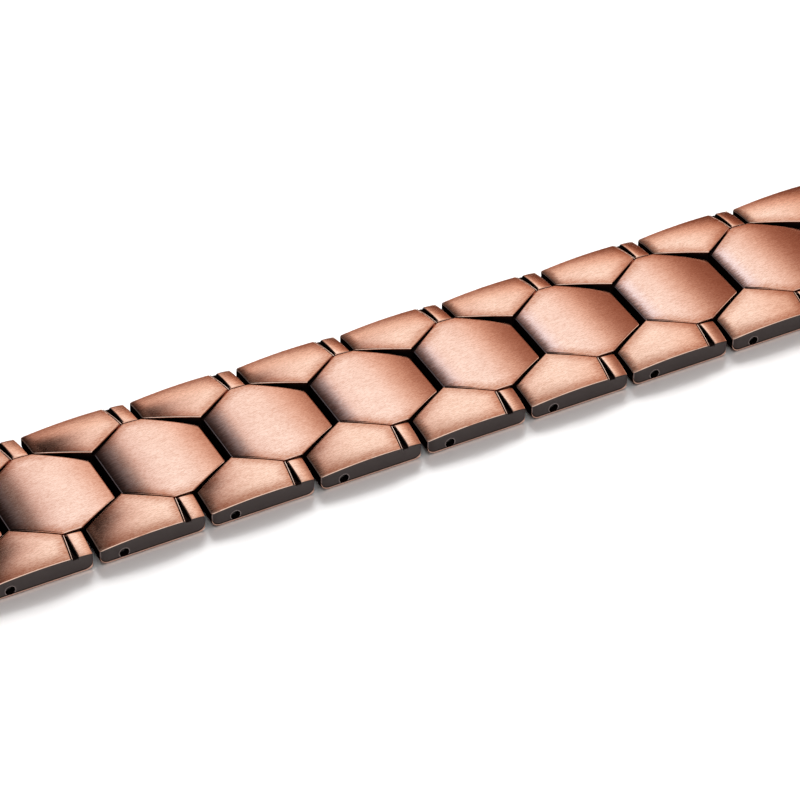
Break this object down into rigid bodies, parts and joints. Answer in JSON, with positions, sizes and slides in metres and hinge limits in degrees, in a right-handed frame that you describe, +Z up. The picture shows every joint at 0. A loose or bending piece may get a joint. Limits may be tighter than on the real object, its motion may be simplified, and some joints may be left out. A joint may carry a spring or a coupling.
{
  "type": "magnetic link bracelet",
  "caption": "Open hinged bracelet of crowned hexagon links with side wings, laid flat: cross pins join the links, each back holds a round magnet, and a plain snap clasp ends it.",
  "frame": {"origin": "on the surface that the open bracelet lies on, under the middle of its box", "axes": "+X along the band, from the open fork of the first link towards the clasp; +Y across the band; +Z up, out of the outer faces"},
  "size_m": [0.2138, 0.0162, 0.0022],
  "materials": {
    "antique_copper": "brushed satin copper, darkened in the gaps and on the side faces, bright on worn edges",
    "dark_pin_steel": "darkened steel pin with a small polished end",
    "nickel_magnet": "nickel-plated, satin"
  },
  "bodies": {
    "root": {"link_01": "antique_copper", "link_02": "antique_copper", "link_03": "antique_copper", "link_04": "antique_copper", "link_05": "antique_copper", "link_06": "antique_copper", "link_07": "antique_copper", "link_08": "antique_copper", "link_09": "antique_copper", "link_10": "antique_copper", "link_11": "antique_copper", "link_12": "antique_copper", "link_13": "antique_copper", "link_14": "antique_copper", "link_15": "antique_copper", "link_16": "antique_copper", "link_17": "antique_copper", "link_18": "antique_copper", "link_19": "antique_copper", "pin_01": "dark_pin_steel", "pin_02": "dark_pin_steel", "pin_03": "dark_pin_steel", "pin_04": "dark_pin_steel", "pin_05": "dark_pin_steel", "pin_06": "dark_pin_steel", "pin_07": "dark_pin_steel", "pin_08": "dark_pin_steel", "pin_09": "dark_pin_steel", "pin_10": "dark_pin_steel", "pin_11": "dark_pin_steel", "pin_12": "dark_pin_steel", "pin_13": "dark_pin_steel", "pin_14": "dark_pin_steel", "pin_15": "dark_pin_steel", "pin_16": "dark_pin_steel", "pin_17": "dark_pin_steel", "pin_18": "dark_pin_steel", "pin_19": "dark_pin_steel", "pin_20": "dark_pin_steel", "magnet_01": "nickel_magnet", "magnet_02": "nickel_magnet", "magnet_03": "nickel_magnet", "magnet_04": "nickel_magnet", "magnet_05": "nickel_magnet", "magnet_06": "nickel_magnet", "magnet_07": "nickel_magnet", "magnet_08": "nickel_magnet", "magnet_09": "nickel_magnet", "magnet_10": "nickel_magnet", "magnet_11": "nickel_magnet", "magnet_12": "nickel_magnet", "magnet_13": "nickel_magnet", "magnet_14": "nickel_magnet", "magnet_15": "nickel_magnet", "magnet_16": "nickel_magnet", "magnet_17": "nickel_magnet", "magnet_18": "nickel_magnet", "magnet_19": "nickel_magnet", "clasp": "antique_copper"}
  },
  "joints": []
}
